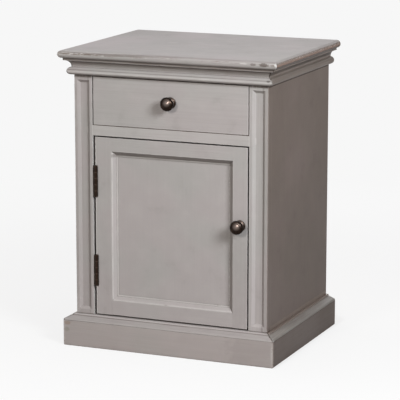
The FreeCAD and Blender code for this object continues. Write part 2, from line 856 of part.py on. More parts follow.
def knob(x, y, z):
    """A turned knob with a tapped hole in its base."""
    solid = face_of(knob_outline()).revolve(Vector(0, 0, 0), Vector(0, 0, 1), 360)
    hole = Part.makeCylinder(knob_screw_radius, knob_screw_bite + knob_screw_spare)
    return placed(solid.cut(hole), (x, y, z), (0, -1, 0))


def knob_screw(x, face_y, z, board):
    """A machine screw from behind a board of this thickness into the knob."""
    profile = [
        (0, knob_screw_head_radius),
        (knob_screw_head_height, knob_screw_head_radius),
        (knob_screw_head_height, knob_screw_radius),
        (knob_screw_head_height + board + knob_screw_bite, knob_screw_radius),
    ]
    place, axis = (x, face_y + board + knob_screw_head_height, z), (0, -1, 0)
    screw = turned(profile, place, axis)
    return crossed([screw], knob_screw_head_radius, knob_screw_head_height, [place], axis)


def add_knob(pieces, name, board_node, x, face_y, z, board):
    """A knob, its screw and the hole for it through the board."""
    hole = cylinder_y(x, face_y, z, knob_screw_radius + screw_clearance, board)
    pieces[board_node] = pieces[board_node].cut(hole)
    pieces[name] = knob(x, face_y, z)
    pieces[name + "_screw"] = knob_screw(x, face_y, z, board)


def catch_pieces():
    """A magnetic catch under the divider and its strike plate on the door."""
    x = opening_half - catch_from_edge
    plate_back = door_back + strike_thickness
    body_y = plate_back + catch_gap
    body = box(
        x - catch_width / 2, x + catch_width / 2, body_y, body_y + catch_depth,
        mid_rail_bottom - catch_height, mid_rail_bottom)
    plate_top = door_high - strike_inset
    plate = box(
        x - strike_width / 2, x + strike_width / 2, door_back, plate_back,
        plate_top - strike_height, plate_top)
    return {"magnetic_catch": body, "catch_strike_plate": plate}


# ---------------------------------------------------------------- assembly
def build():
    pieces = carcass_pieces()
    pieces.update(moulding("cornice", cornice_outline))
    pieces.update(moulding("base_cap", cap_outline))
    pieces.update(moulding("plinth", plinth_outline))
    pieces.update(plinth_back_and_blocks())
    pieces.update(drawer_support())
    pieces.update(drawer_pieces())
    pieces.update(door_pieces())
    pieces.update(catch_pieces())
    top_screws(pieces)
    shelf_and_pegs(pieces)
    add_hinges(pieces)
    add_knob(pieces, "drawer_knob", "drawer_front",
             drawer_knob_offset, front_y, drawer_knob_z, drawer_front_thickness)
    add_knob(pieces, "door_knob", "door_latch_stile",
             door_knob_x, door_face, door_knob_z, door_thickness)
    return pieces


os.makedirs("parts", exist_ok=True)
for node, shape in sorted(build().items()):
    shape.exportStep("parts/" + node + ".step")
    print(node, len(shape.Solids), round(shape.Volume), shape.isValid())
print("drawer travel", drawer_travel)
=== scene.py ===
"""Looks of the storage side table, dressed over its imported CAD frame.  Metres, +Z up."""
import bpy
from math import radians
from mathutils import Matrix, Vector

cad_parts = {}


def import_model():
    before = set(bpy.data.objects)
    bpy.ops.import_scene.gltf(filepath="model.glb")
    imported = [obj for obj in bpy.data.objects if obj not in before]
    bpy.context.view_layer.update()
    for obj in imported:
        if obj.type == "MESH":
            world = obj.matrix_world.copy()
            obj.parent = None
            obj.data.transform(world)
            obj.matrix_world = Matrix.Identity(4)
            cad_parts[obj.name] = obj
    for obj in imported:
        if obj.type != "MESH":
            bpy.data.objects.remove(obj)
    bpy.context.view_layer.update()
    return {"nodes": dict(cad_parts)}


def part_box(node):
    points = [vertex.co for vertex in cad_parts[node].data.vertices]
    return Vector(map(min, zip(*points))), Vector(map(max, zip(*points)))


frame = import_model()
nodes = frame["nodes"]
scene = bpy.context.scene

# ---------------------------------------------------------------- colours, linear
WHITE = (1.0, 1.0, 1.0)
PAINT_MAUVE = (0.439, 0.399, 0.395)
PAINT_OLIVE = (0.424, 0.402, 0.391)
PAINT_WORN = (0.500, 0.472, 0.458)
# pale paint in brush marks and on rubbed edges, and painted highlights and painted light in the
# bands and patches below
PALE_PAINT_AND_PAINTED_LIGHT = (0.640, 0.615, 0.595)
SIDE_PAINTED_SHADE = (0.860, 0.787, 0.736)    # painted shade: multiplies the coat of the side pieces, darker and browner
# glaze for darker tone in patches and brush marks, and painted shade in corners, on undersides and
# in the bands and patches below
GLAZE_AND_SHADE = (0.120, 0.095, 0.082)
# grime in pores and dark joints, and painted shade in creases and in lines under the mouldings
GRIME_AND_SHADE = (0.060, 0.045, 0.036)
SHADOW = (0.052, 0.052, 0.052)
BROWN = (0.135, 0.082, 0.055)
# painted brown shade, deep in the gaps
UMBER_SHADE = (0.450, 0.300, 0.235)
OCHRE = (0.300, 0.195, 0.125)
OLIVE = (0.265, 0.250, 0.190)
WARM = (0.425, 0.358, 0.338)
CHALK = (0.800, 0.785, 0.770)
# painted light, lifting the shaded hollows of the side mouldings
COOL_PAINTED_LIGHT = (0.720, 0.785, 0.810)
WOOD_PALE = (0.580, 0.400, 0.235)
WOOD_DARK = (0.360, 0.215, 0.110)
BRONZE_DARK = (0.013, 0.008, 0.006)
BRONZE_RUBBED = (0.170, 0.112, 0.080)
# the crown of a knob's dome: rubbed bronze and a painted highlight
BRONZE_CROWN_AND_HIGHLIGHT = (0.212, 0.168, 0.149)
BRONZE_GROOVE = (0.016, 0.012, 0.010)
STEEL = (0.560, 0.560, 0.570)
STEEL_DULL = (0.320, 0.310, 0.290)
PLASTIC = (0.115, 0.070, 0.045)
PLASTIC_PALE = (0.160, 0.100, 0.065)
FLOOR_SHADED = (0.160, 0.160, 0.160)   # the part of the floor's look that takes shadows
FLOOR_BOUNCE = (0.300, 0.290, 0.280)   # what the floor throws back at the object

# ---------------------------------------------------------------- noises and wear
# noises that run along the grain: scale along it and across it, detail, roughness
BRUSH_MARKS = (5.0, 330.0, 4.0, 0.7)
BRUSH_PATCHES = (26.0, 120.0, 4.0, 0.7)
STREAKS = (14.0, 420.0, 4.0, 0.7)
PORES = (22.0, 900.0, 3.0, 0.6)
FLAKES = (42.0, 240.0, 5.0, 0.75)
SCRATCHES = (26.0, 700.0, 4.0, 0.7)
CHALK_MARKS = (70.0, 520.0, 4.0, 0.7)
FIBRES = (9.0, 700.0, 3.0, 0.6)
PIECE_SHIFT = (7.3, 3.1, 5.7)    # metres, the most that a piece's noises are moved by
RINGS_PER_METRE = 150.0

# of a knob's radius: how far right and up its rubbed crown and painted highlight lie, and where
# that fades
CROWN_SHIFT = (0.12, 0.26)
CROWN_FADE = (0.05, 0.74)

# metres
RUBBED_EDGE = 0.003              # how far from an outer edge the paint is rubbed
CREASE = 0.0045                  # gaps and corners narrower than this get grime and painted shade
CORNER = 0.016                   # corners narrower than this get painted shade
MITRE = 0.050                    # the mitres of the front corners lie where |x| + y is this
NOSE_FRONT = (0.1915, 0.1945)    # how far out the top's nose begins
NOSE_MIDDLE = 0.6440             # height where the nose is worn most
NOSE_GLAZE = (0.6456, 0.6493)    # height of the glaze along it, at the left and at the right
SIDE_BLUR = 0.0005               # how softly the painted shade of the side pieces begins
RING_WARP = 0.07                 # how far the growth rings are bent
FINEST_SPOT = 0.004              # a patch narrower than this gets no finer an outline


# ---------------------------------------------------------------- node trees
class Nodes:
    """Short hand for a node tree."""

    def __init__(self, tree):
        self.tree = tree

    def add(self, kind, inputs=None, **settings):
        node = self.tree.nodes.new("ShaderNode" + kind)
        for key, value in settings.items():
            setattr(node, key, value)
        for key, value in (inputs or {}).items():
            self.plug(node.inputs[key], value)
        return node

    def plug(self, socket, value):
        if isinstance(value, bpy.types.NodeSocket):
            self.tree.links.new(value, socket)
        elif hasattr(value, "__len__") and len(value) == 3 and len(socket.default_value) == 4:
            socket.default_value = (*value, 1.0)
        else:
            socket.default_value = value

    def math(self, operation, a, b=0.0, clamp=False):
        return self.add("Math", {0: a, 1: b}, operation=operation, use_clamp=clamp).outputs[0]

    def plus(self, a, b):
        return self.math("ADD", a, b)

    def minus(self, a, b):
        return self.math("SUBTRACT", a, b)

    def times(self, a, b):
        return self.math("MULTIPLY", a, b)

    def larger(self, a, b):
        return self.math("MAXIMUM", a, b)

    def absolute(self, a):
        return self.math("ABSOLUTE", a)

    def apart(self, a, b):
        return self.absolute(self.minus(a, b))

    def vector(self, operation, a, b):
        return self.add("VectorMath", {0: a, 1: b}, operation=operation).outputs["Vector"]

    def length(self, a):
        return self.add("VectorMath", {0: a}, operation="LENGTH").outputs["Value"]

    def xyz(self, a):
        return self.add("SeparateXYZ", {0: a}).outputs

    def spread(self, value, low, high, to_low=0.0, to_high=1.0):
        """value between low and high, eased to the new range and held there outside it."""
        inputs = {"Value": value, 1: low, 2: high, 3: to_low, 4: to_high}
        return self.add("MapRange", inputs, interpolation_type="SMOOTHSTEP").outputs[0]

    def band(self, value, middle, inner, outer):
        """1 nearer than inner to the middle, 0 farther than outer."""
        return self.spread(self.apart(value, middle), inner, outer, 1.0, 0.0)

    def mix(self, factor, a, b, blend="MIX"):
        node = self.add("Mix", data_type="RGBA", blend_type=blend)
        self.plug(node.inputs[0], factor)
        self.plug(node.inputs[6], a)
        self.plug(node.inputs[7], b)
        return node.outputs[2]

    def noise(self, where, scale, detail=2.0, roughness=0.5, output="Fac"):
        inputs = {"Vector": where, "Scale": scale, "Detail": detail, "Roughness": roughness}
        return self.add("TexNoise", inputs).outputs[output]

    def stretched(self, where, grain, along, across):
        """Coordinates in which a noise of scale 1 runs long along the grain axis."""
        scale = [across] * 3
        scale["xyz".index(grain)] = along
        return self.vector("MULTIPLY", where, tuple(scale))

    def grained(self, where, grain, along, across, detail, roughness):
        """A noise that runs long along the grain axis."""
        return self.noise(self.stretched(where, grain, along, across), 1.0, detail, roughness)

    def background_ray(self):
        """1 for the rays that show the background: from the camera, reflected or let through."""
        rays = self.add("LightPath").outputs
        return self.larger(self.larger(rays["Is Camera Ray"], rays["Is Glossy Ray"]),
                           rays["Is Transmission Ray"])


class Material(Nodes):
    """Short hand for one material's node tree."""

    def __init__(self, name):
        self.material = bpy.data.materials.new(name)
        self.material.use_nodes = True
        super().__init__(self.material.node_tree)
        self.shader = self.tree.nodes["Principled BSDF"]
        self.surface = self.tree.nodes["Material Output"].inputs["Surface"]

    def place(self):
        """The point's place in the object's frame, and the same moved by its piece's own shift."""
        where = self.add("TexCoord").outputs["Object"]
        chance = self.add("ObjectInfo").outputs["Random"]
        shift = self.add("CombineXYZ", {axis: self.times(chance, most)
                                        for axis, most in enumerate(PIECE_SHIFT)})
        return where, self.vector("ADD", where, shift.outputs[0])

    def convex(self, distance):
        """High on outer edges that are nearer than this distance."""
        ao = self.add("AmbientOcclusion", {"Distance": distance},
                      inside=True, only_local=True, samples=8)
        return self.minus(1.0, ao.outputs["AO"])

    def hollow(self, distance):
        """High in corners and gaps that are narrower than this distance."""
        ao = self.add("AmbientOcclusion", {"Distance": distance}, samples=8)
        return self.minus(1.0, ao.outputs["AO"])

    def spot(self, where, centre, radii):
        """A soft-edged patch with an uneven outline."""
        scaled = self.vector("DIVIDE", self.vector("SUBTRACT", where, centre), radii)
        noise = self.noise(where, 1.6 / max(min(radii), FINEST_SPOT), 4.0, 0.65)
        uneven = self.times(self.minus(noise, 0.5), 1.2)
        return self.spread(self.plus(self.length(scaled), uneven), 0.55, 1.05, 1.0, 0.0)

    def finish(self, color, roughness, height, depth, bevel, metallic=0.0):
        """The material, bumped this deep by height and with edges that look rounded by bevel."""
        self.plug(self.shader.inputs["Base Color"], color)
        self.plug(self.shader.inputs["Roughness"], roughness)
        self.shader.inputs["Metallic"].default_value = metallic
        rounded = self.add("Bevel", {"Radius": bevel}, samples=6).outputs[0]
        bump = self.add("Bump", {"Strength": 1.0, "Distance": depth, "Height": height,
                                 "Normal": rounded})
        self.plug(self.shader.inputs["Normal"], bump.outputs[0])
        return self.material


# ---------------------------------------------------------------- materials
def painted_over(n, x, z, flush):
    """1 on the joints that run on beyond the corners of a frame's opening."""
    x0, x1, z0, z1 = flush
    joint = n.math("MINIMUM", n.apart(x, x0), n.apart(x, x1))
    beyond = n.larger(n.minus(z0, z), n.minus(z, z1))
    return n.times(n.spread(joint, 0.0030, 0.0045, 1.0, 0.0), n.spread(beyond, 0.0, 0.0015))


def worn_nose(n, color, grain, where, moved, streaked):
    """Glaze along the upper arris of the top's nose, and flaked and chalky paint below it."""
    x, y, z = n.xyz(where)
    front = n.spread(n.larger(n.times(y, -1.0), n.minus(n.absolute(x), MITRE)), *NOSE_FRONT)
    ends = n.spread(n.apart(x, 0.040), 0.12, 0.26, -0.05, 0.10)
    # the glaze climbs to the right and weakens
    level = n.spread(x, -0.16, 0.08, *NOSE_GLAZE)
    arris = n.times(n.band(z, level, 0.0014, 0.0032), front)
    arris = n.times(arris, n.spread(streaked, 0.34, 0.55, 0.4, 1.0))
    color = n.mix(n.times(arris, n.spread(x, -0.10, 0.06, 0.62, 0.40)), color, GLAZE_AND_SHADE)

    worn = n.times(n.band(z, NOSE_MIDDLE, 0.0012, 0.0034), front)
    scratched = n.plus(n.grained(where, grain, *SCRATCHES), ends)
    scratched = n.times(worn, n.spread(scratched, 0.48, 0.60))
    color = n.mix(n.times(scratched, 0.55), color, BROWN)
    chalky = n.plus(n.grained(moved, grain, *CHALK_MARKS), ends)
    chalky = n.times(worn, n.spread(chalky, 0.56, 0.68))
    return n.mix(n.times(chalky, 0.60), color, CHALK)


def paint(name, grain, chips=0.12, rub=0.5, dirt_and_shade=1.0, brush=1.0, side=None, mitred=False,
          nosed=False, lines=(), spots=(), flush=None, thin=None):
    """Warm grey brushed paint over wood whose grain runs along an axis, rubbed at its edges.

    Beyond side, a distance from the middle plane, the coat is darker and browner: painted shade.
    mitred darkens the joint lines of a moulding's front corners, and nosed wears the top's
    nose. lines are (height, half width, colour, strength) bands that run round the piece, and
    spots are (centre, radii, colour, strength) patches that differ from the rest. flush is the
    opening (x0, x1, z0, z1) of a frame whose joints are painted over and show no edges. thin
    are the heights between which a moulding is so thin that its back would count as an edge.
    """
    n = Material(name)
    where, moved = n.place()
    x, y, z = n.xyz(where)
    clouds = n.noise(where, 6.5)
    patches = n.noise(where, 24.0, 4.0, 0.6)
    brushed = n.grained(moved, grain, *BRUSH_MARKS)
    patchy = n.grained(moved, grain, *BRUSH_PATCHES)
    streaked = n.grained(where, grain, *STREAKS)
    pores = n.spread(n.grained(moved, grain, *PORES), 0.60, 0.74)

    # the coat, more mauve towards the floor
    tint = n.plus(clouds, n.spread(z, 0.05, 0.60, 0.08, -0.04))
    color = n.mix(n.spread(tint, 0.38, 0.62), PAINT_OLIVE, PAINT_MAUVE)
    color = n.mix(n.spread(patches, 0.45, 0.75, 0.0, 0.30), color, PAINT_WORN)
    color = n.mix(n.spread(patches, 0.25, 0.45, 0.10, 0.0), color, GLAZE_AND_SHADE)
    color = n.mix(n.spread(brushed, 0.40, 0.75, 0.0, 0.14 * brush), color, PALE_PAINT_AND_PAINTED_LIGHT)
    color = n.mix(n.spread(brushed, 0.25, 0.45, 0.10 * brush, 0.0), color, GLAZE_AND_SHADE)
    color = n.mix(n.times(pores, 0.05 * brush), color, GRIME_AND_SHADE)

    # outer edges: rubbed light, and here and there flaked to the wood
    edges = n.convex(RUBBED_EDGE)
    if side is not None:
        outside = n.spread(n.absolute(x), side - SIDE_BLUR, side + SIDE_BLUR)
        if side:      # a piece that also shows at the front keeps whole edges at the side
            edges = n.times(edges, n.minus(1.0, n.times(outside, 0.9)))
    if flush:
        edges = n.times(edges, n.minus(1.0, painted_over(n, x, z, flush)))
    if thin:
        middle, half = (thin[0] + thin[1]) / 2, (thin[1] - thin[0]) / 2
        edges = n.times(edges, n.spread(n.apart(z, middle), half - 0.001, half))
    light = n.times(n.spread(edges, 0.10, 0.45), n.spread(patchy, 0.30, 0.62, 0.35, 1.0))
    color = n.mix(n.times(light, rub), color, PALE_PAINT_AND_PAINTED_LIGHT)
    flaked = n.spread(n.grained(moved, grain, *FLAKES), 0.66 - 0.24 * chips, 0.74 - 0.24 * chips)
    lost = n.times(n.times(n.spread(edges, 0.16, 0.42), flaked), 0.75)

    # painted shade in corners and on undersides, grime and painted shade in creases, a painted
    # brown shade deep in the gaps
    tight = n.hollow(CREASE)
    creases = n.times(n.spread(tight, 0.14, 0.46), n.spread(patchy, 0.2, 0.6, 0.6, 1.0))
    creases = n.times(creases, n.spread(tight, 0.72, 0.92, 1.0, 0.25))
    corners = n.spread(n.hollow(CORNER), 0.30, 0.90)
    facing_up = n.xyz(n.add("NewGeometry").outputs["Normal"])[2]
    under = n.spread(n.times(facing_up, -1.0), 0.30, 0.75)
    color = n.mix(n.times(corners, 0.30 * dirt_and_shade), color, GLAZE_AND_SHADE)
    color = n.mix(n.times(under, 0.42 * dirt_and_shade), color, GLAZE_AND_SHADE)
    color = n.mix(n.times(creases, 0.72 * dirt_and_shade), color, GRIME_AND_SHADE)
    color = n.mix(n.spread(tight, 0.60, 0.85, 0.0, 0.75), color, UMBER_SHADE)

    for height, half, shade, strength in lines:
        line = n.times(n.band(z, height, 0.6 * half, 1.2 * half),
                       n.spread(streaked, 0.30, 0.60, 0.55, 1.0))
        color = n.mix(n.times(line, strength), color, shade)
    if mitred:
        joint = n.band(n.plus(n.absolute(x), y), MITRE, 0.0010, 0.0028)
        joint = n.times(joint, n.spread(n.noise(where, 170.0), 0.36, 0.50))
        color = n.mix(n.times(joint, 0.95), color, GRIME_AND_SHADE)
    # painted shade: the side pieces darker and browner
    if side is not None:
        color = n.mix(outside, color, SIDE_PAINTED_SHADE, "MULTIPLY")
    color = n.mix(lost, color, BROWN)
    if nosed:
        color = worn_nose(n, color, grain, where, moved, streaked)
    for centre, radii, shade, strength in spots:
        color = n.mix(n.times(n.spot(where, centre, radii), strength), color, shade)

    gloss = n.spread(n.plus(clouds, n.times(brushed, 0.5)), 0.5, 1.0, 0.52, 0.40)
    gloss = n.plus(gloss, n.times(n.larger(lost, creases), 0.25))
    height = n.minus(n.plus(n.times(brushed, 0.6), n.times(patches, 0.5)),
                     n.plus(n.times(pores, 0.5), n.times(lost, 1.2)))
    n.shader.inputs["Specular IOR Level"].default_value = 0.1
    return n.finish(color, gloss, height, depth=0.00022, bevel=0.0007)


def bare_wood(name, grain):
    """Sanded pine with growth rings around an axis."""
    n = Material(name)
    moved = n.place()[1]
    warped = n.noise(n.stretched(moved, grain, 1.2, 6.0), 1.0, output="Color")
    bent = n.vector("ADD", moved, n.vector("MULTIPLY", warped, (RING_WARP,) * 3))
    radius = n.length(n.stretched(bent, grain, 0.0, 1.0))
    rings = n.math("FRACT", n.times(radius, RINGS_PER_METRE))
    late = n.times(n.spread(rings, 0.35, 0.92), n.spread(rings, 1.0, 0.95))
    fibres = n.grained(moved, grain, *FIBRES)
    color = n.mix(n.times(late, 0.55), WOOD_PALE, WOOD_DARK)
    color = n.mix(n.spread(fibres, 0.3, 0.8, 0.0, 0.30), color, WOOD_DARK)
    color = n.mix(n.spread(n.noise(moved, 5.0), 0.3, 0.7, 0.0, 0.25), color, WOOD_DARK)
    # darker in its corners: grime and painted shade
    color = n.mix(n.times(n.spread(n.hollow(0.008), 0.4, 1.0), 0.5), color, GRIME_AND_SHADE)
    gloss = n.spread(fibres, 0.3, 0.7, 0.62, 0.5)
    height = n.plus(fibres, n.times(late, 0.4))
    return n.finish(color, gloss, height, depth=0.00015, bevel=0.0006)


def bronze(name, rub, crowns=()):
    """Dark antique bronze, rubbed bright on its ridges and dull in its grooves.

    crowns are (x, z, radius) of knobs, whose domes get a bright crown, partly rubbed bronze and
    partly a painted highlight, and keep a dark rim.
    """
    n = Material(name)
    where, moved = n.place()
    x, _, z = n.xyz(where)
    cloudy = n.noise(moved, 160.0, 4.0, 0.65)
    fine = n.noise(moved, 900.0, 3.0, 0.6)
    edges = n.times(n.spread(n.convex(0.0022), 0.10, 0.50), 0.55 * rub)
    rubbed = n.math("ADD", edges, n.spread(cloudy, 0.45, 0.80, 0.0, 0.30 * rub), clamp=True)
    color = n.mix(rubbed, BRONZE_DARK, BRONZE_RUBBED)
    for middle_x, middle_z, radius in crowns:
        right = n.minus(x, middle_x + CROWN_SHIFT[0] * radius)
        up = n.minus(z, middle_z + CROWN_SHIFT[1] * radius)
        away = n.length(n.add("CombineXYZ", {0: right, 1: up}).outputs[0])
        uneven = n.plus(away, n.times(n.minus(cloudy, 0.5), 0.25 * radius))
        dome = n.spread(uneven, CROWN_FADE[0] * radius, CROWN_FADE[1] * radius, 1.0, 0.0)
        color = n.mix(n.times(dome, 0.85), color, BRONZE_CROWN_AND_HIGHLIGHT)
    color = n.mix(n.times(n.spread(n.hollow(0.003), 0.35, 0.9), 0.7), color, BRONZE_GROOVE)
    gloss = n.spread(n.plus(cloudy, n.times(fine, 0.4)), 0.5, 0.95, 0.38, 0.26)
    height = n.plus(cloudy, n.times(fine, 0.35))
    return n.finish(color, gloss, height, depth=0.00005, bevel=0.0003, metallic=1.0)


def steel(name):
    """Plated steel, dull in patches."""
    n = Material(name)
    moved = n.place()[1]
    fine = n.noise(moved, 1200.0, 3.0, 0.6)
    dull = n.noise(moved, 90.0, 3.0, 0.6)
    color = n.mix(n.spread(dull, 0.4, 0.75, 0.0, 0.35), STEEL, STEEL_DULL)
    # darker in its hollows: grime and painted shade
    color = n.mix(n.spread(n.hollow(0.002), 0.4, 0.9, 0.0, 0.6), color, GRIME_AND_SHADE)
    gloss = n.spread(dull, 0.3, 0.7, 0.30, 0.46)
    return n.finish(color, gloss, fine, depth=0.00003, bevel=0.0002, metallic=1.0)


def plastic(name):
    """Brown moulded plastic with a fine grain."""
    n = Material(name)
    moved = n.place()[1]
    grainy = n.noise(moved, 1500.0, 2.0, 0.6)
    color = n.mix(n.spread(n.noise(moved, 60.0), 0.3, 0.7, 0.0, 0.3), PLASTIC, PLASTIC_PALE)
    # darker in its hollows: grime and painted shade
    color = n.mix(n.times(n.spread(n.hollow(0.004), 0.4, 1.0), 0.5), color, GRIME_AND_SHADE)
    gloss = n.spread(grainy, 0.3, 0.7, 0.42, 0.58)
    return n.finish(color, gloss, grainy, depth=0.00003, bevel=0.0005)


# ---------------------------------------------------------------- where the paint differs, and where light and shade are painted
# bands round a piece: height, half width, colour, strength
CORNICE_SHADOW = (0.5937, 0.0024, GRIME_AND_SHADE, 0.78)            # painted shadow line right under the cornice
# painted shadow fading below the cornice
BELOW_CORNICE_SHADOW = (0.5945, 0.0050, GLAZE_AND_SHADE, 0.24)
RAIL_SHADOW = (0.4240, 0.0038, GLAZE_AND_SHADE, 0.42)      # painted shadow below the door's top rail
# painted shade: a shadow line under the top's nose, and its lower half darker
TOP_LINES = ((0.6335, 0.0012, GRIME_AND_SHADE, 0.60), (0.6400, 0.0072, GLAZE_AND_SHADE, 0.15))
# painted shade along the fillet, the cove and under the half-round, a painted highlight on the
# half-round, and a grimy streak on it
CORNICE_LINES = (
    (0.6322, 0.0010, GRIME_AND_SHADE, 0.75), (0.6302, 0.0018, GLAZE_AND_SHADE, 0.80),           # fillet
    (0.6262, 0.0018, GRIME_AND_SHADE, 0.55), (0.6250, 0.0060, GLAZE_AND_SHADE, 0.24),           # cove
    (0.6205, 0.0060, GLAZE_AND_SHADE, 0.44),
    (0.6080, 0.0012, GRIME_AND_SHADE, 0.42), (0.6038, 0.0018, PALE_PAINT_AND_PAINTED_LIGHT, 0.50),     # half-round
    (0.5995, 0.0016, GLAZE_AND_SHADE, 0.30), (0.5972, 0.0012, GRIME_AND_SHADE, 0.50))
# painted shade along the side's fillet and cove and under its half-round, and painted light
# lifting the cove's shaded foot
CORNICE_SIDE_LINES = (
    (0.6295, 0.0036, SHADOW, 0.46), (0.6322, 0.0010, SHADOW, 0.60),         # fillet
    (0.6225, 0.0050, SHADOW, 0.62), (0.6132, 0.0040, COOL_PAINTED_LIGHT, 0.60),           # cove
    (0.6055, 0.0070, COOL_PAINTED_LIGHT, 0.30), (0.5975, 0.0016, GRIME_AND_SHADE, 0.60))            # half-round
# painted shade: a thin line at the top of the cap and a broad darkening lower down
CAP_LINES = ((0.0662, 0.0007, GLAZE_AND_SHADE, 0.50), (0.0610, 0.0060, GLAZE_AND_SHADE, 0.20))
# painted light: a bright band on the round of the side cap, and the crease above it lifted
CAP_SIDE_LINES = ((0.0685, 0.0034, PALE_PAINT_AND_PAINTED_LIGHT, 0.60), (0.0612, 0.0060, COOL_PAINTED_LIGHT, 1.0))
PLINTH_LINES = ((0.0250, 0.0600, WARM, 0.45),)
# painted shade: the plinth's side darker
PLINTH_SIDE_LINES = ((0.0300, 0.0400, GLAZE_AND_SHADE, 0.12),)
# painted shadow under the cornice, and painted light at the foot of the side panel, where it is
# shaded
SIDE_LINES = ((0.5947, 0.0030, GRIME_AND_SHADE, 0.95), (0.0728, 0.0062, PALE_PAINT_AND_PAINTED_LIGHT, 0.80))
# painted light: the mid rail lighter
MID_RAIL_LINES = ((0.4780, 0.0110, PALE_PAINT_AND_PAINTED_LIGHT, 0.20),)
DRAWER_LINES = (BELOW_CORNICE_SHADOW, (0.4897, 0.0009, BROWN, 0.60))
# painted shade: the rail's shadow on the top bead, darker still along it
CROSS_BEAD_LINES = (RAIL_SHADOW, (0.4310, 0.0050, GRIME_AND_SHADE, 0.40))

# patches: centre, radii, colour, strength
TOP_SPOTS = (
    ((0.222, -0.2005, 0.6430), (0.012, 0.012, 0.0050), GLAZE_AND_SHADE, 0.80),
    ((0.199, -0.2005, 0.6430), (0.008, 0.010, 0.0032), GLAZE_AND_SHADE, 0.55),
    ((0.178, -0.2005, 0.6440), (0.010, 0.010, 0.0022), PALE_PAINT_AND_PAINTED_LIGHT, 0.50),
    ((0.250, -0.2005, 0.6440), (0.005, 0.006, 0.0050), CHALK, 0.80),
    ((-0.073, 0.016, 0.65), (0.016, 0.006, 0.01), PALE_PAINT_AND_PAINTED_LIGHT, 0.30),
    ((-0.029, 0.035, 0.65), (0.030, 0.004, 0.01), PALE_PAINT_AND_PAINTED_LIGHT, 0.30),
    ((0.020, 0.009, 0.65), (0.022, 0.004, 0.01), PALE_PAINT_AND_PAINTED_LIGHT, 0.25))
CHALKY_CORNER = ((0.2349, -0.1854, 0.6045), (0.0028, 0.0028, 0.0036), CHALK, 0.70)
CORNICE_SIDE_SPOTS = (
    ((0.2365, -0.1815, 0.6275), (0.0080, 0.0080, 0.0035), GRIME_AND_SHADE, 0.60),
    ((0.2270, -0.1854, 0.6075), (0.0045, 0.0040, 0.0030), GRIME_AND_SHADE, 0.60),
    ((0.2300, -0.1805, 0.6275), (0.0060, 0.0060, 0.0030), GRIME_AND_SHADE, 0.70))
CORNICE_SPOTS = (CHALKY_CORNER, *CORNICE_SIDE_SPOTS)
# painted light on the left post's inner edge beside the door, painted shade on the sunk panels'
# right bevels and across the left post, and a painted shade line along its outer edge
POST_SPOTS = (
    ((-0.1810, -0.1600, 0.3400), (0.0012, 0.030, 0.6000), PALE_PAINT_AND_PAINTED_LIGHT, 0.60),
    ((0.2118, -0.1730, 0.3300), (0.0030, 0.010, 0.4500), GLAZE_AND_SHADE, 0.40),
    ((-0.1905, -0.1730, 0.3300), (0.0025, 0.010, 0.4500), GLAZE_AND_SHADE, 0.25),
    ((-0.2030, -0.1730, 0.3300), (0.0280, 0.020, 0.4500), GLAZE_AND_SHADE, 0.12),
    ((-0.2230, -0.1730, 0.1700), (0.0014, 0.004, 0.1200), GRIME_AND_SHADE, 0.50))
# wood showing through at the left corner, a darker patch to the right, and a painted highlight on
# the right corner
PLINTH_SPOTS = (
    ((-0.236, -0.195, 0.0505), (0.010, 0.010, 0.0050), OCHRE, 0.45),
    ((-0.237, -0.195, 0.0360), (0.007, 0.010, 0.0060), OLIVE, 0.40),
    ((0.2000, -0.195, 0.0300), (0.0700, 0.020, 0.0600), GLAZE_AND_SHADE, 0.14),
    ((0.2425, -0.195, 0.0300), (0.0030, 0.010, 0.0220), PALE_PAINT_AND_PAINTED_LIGHT, 0.35))
# a painted highlight along the hinge stile's edge, and painted shade low on the latch stile
STILE_SPOTS = (
    ((-0.1750, -0.1715, 0.2700), (0.0022, 0.006, 0.3600), PALE_PAINT_AND_PAINTED_LIGHT, 0.65),
    ((0.1600, -0.1730, 0.1700), (0.0300, 0.020, 0.1400), GLAZE_AND_SHADE, 0.10))
# painted shadow of the right bead, on the bead and on the panel beside it
UPRIGHT_BEAD_SPOTS = (((0.1385, -0.1650, 0.2600), (0.0082, 0.030, 0.6000), GLAZE_AND_SHADE, 0.38),)
PANEL_SPOTS = (((0.1310, -0.1650, 0.2600), (0.0100, 0.030, 0.6000), GLAZE_AND_SHADE, 0.12),)

COVE = (0.6100, 0.6262)      # heights between which the cornice is thin
POST_SIDE = 0.2225           # just inside the outer faces of the posts
PLINTH_SIDE = 0.2445         # just inside the ends of the plinth's front board
PANEL_TONGUE = 0.0075        # how far the door's panel goes into each stile


def sight():
    """The opening (x0, x1, z0, z1) in the door's frame."""
    low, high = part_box("door_panel")
    return (low[0] + PANEL_TONGUE, high[0] - PANEL_TONGUE,
            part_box("door_bottom_rail")[1][2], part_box("door_top_rail")[0][2])


def crown(name):
    """The middle (x, z) and the radius of a knob."""
    low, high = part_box(name)
    return (low[0] + high[0]) / 2, (low[2] + high[2]) / 2, (high[0] - low[0]) / 2


# ---------------------------------------------------------------- which piece gets which
top_paint = paint("paint_top", "x", chips=0.35, rub=0.20, nosed=True,
                  lines=TOP_LINES, spots=TOP_SPOTS)
cornice_paint = paint("paint_cornice", "x", chips=0.35, dirt_and_shade=0.8, brush=2.0, mitred=True,
                      thin=COVE, lines=CORNICE_LINES, spots=CORNICE_SPOTS)
cornice_side_paint = paint("paint_cornice_side", "y", chips=0.35, rub=0.4, dirt_and_shade=0.15,
                           brush=1.6, side=0.0, mitred=True, thin=COVE,
                           lines=CORNICE_SIDE_LINES, spots=CORNICE_SIDE_SPOTS)
cap_paint = paint("paint_cap", "x", chips=0.2, rub=0.3, dirt_and_shade=0.8, brush=1.8, mitred=True,
                  lines=CAP_LINES)
cap_side_paint = paint("paint_cap_side", "y", chips=0.2, rub=0.45, dirt_and_shade=0.15, brush=1.6,
                       side=0.0, mitred=True, lines=CAP_SIDE_LINES)
